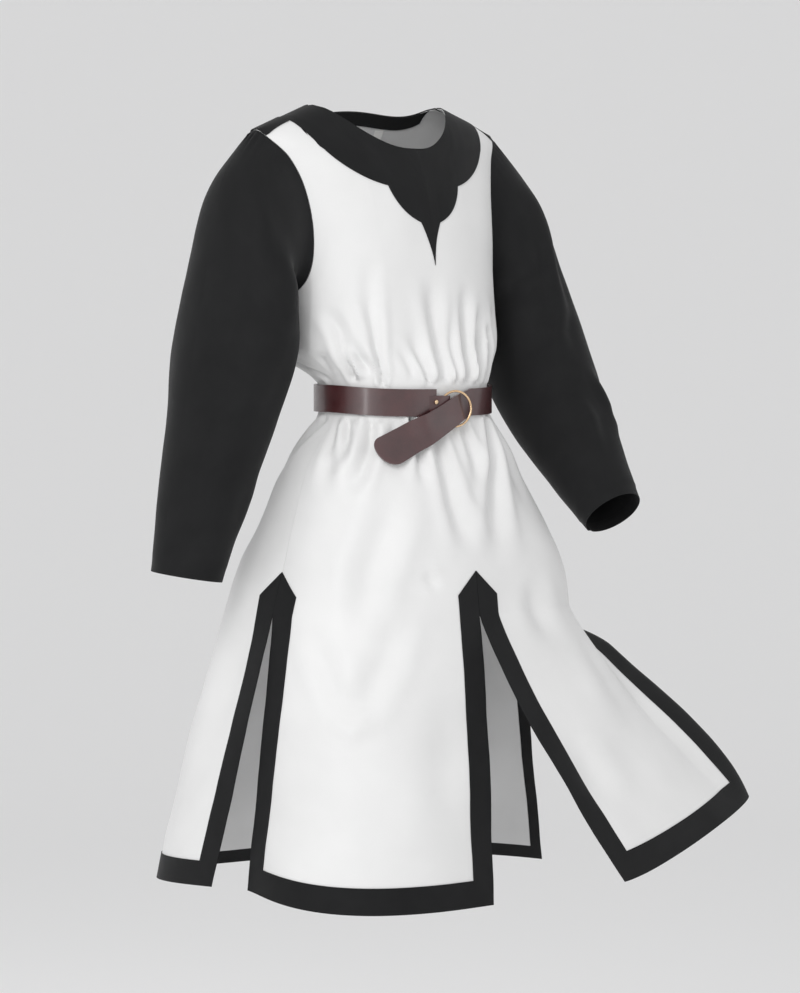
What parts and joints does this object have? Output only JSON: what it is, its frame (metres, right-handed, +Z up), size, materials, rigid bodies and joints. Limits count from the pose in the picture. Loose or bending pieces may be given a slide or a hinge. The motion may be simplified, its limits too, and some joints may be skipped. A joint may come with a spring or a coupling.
{
  "type": "medieval dress",
  "caption": "Hollow long-sleeved medieval tunic with scalloped yoke, slit skirt edged in wide bands, and a ring belt with a hanging tail, filled out as worn.",
  "frame": {"origin": "mid-way between the two neck points at the height where a wearer's shoulders carry the garment", "axes": "+Z up, -Y towards the front of the garment, +X towards the wearer's left"},
  "size_m": [0.7578, 0.6957, 1.1148],
  "materials": {
    "white_cloth": "soft satin twill",
    "black_cloth": "matt twill",
    "leather": "polished oxblood",
    "brass": "polished pale gold",
    "label_tape": "woven tape, bare"
  },
  "bodies": {
    "root": {"front_panel": "white_cloth", "back_panel": "white_cloth", "trim_front_right": "black_cloth", "trim_front_left": "black_cloth", "trim_back": "black_cloth", "sleeve_right": "black_cloth", "sleeve_left": "black_cloth", "yoke_front": "black_cloth", "collar_back": "black_cloth", "neck_facing": "black_cloth", "neck_label": "label_tape", "shoulder_strip_right": "black_cloth", "shoulder_strip_left": "black_cloth", "belt_strap": "leather", "belt_loop": "leather", "belt_ring": "brass", "belt_rivet": "brass"}
  },
  "joints": []
}
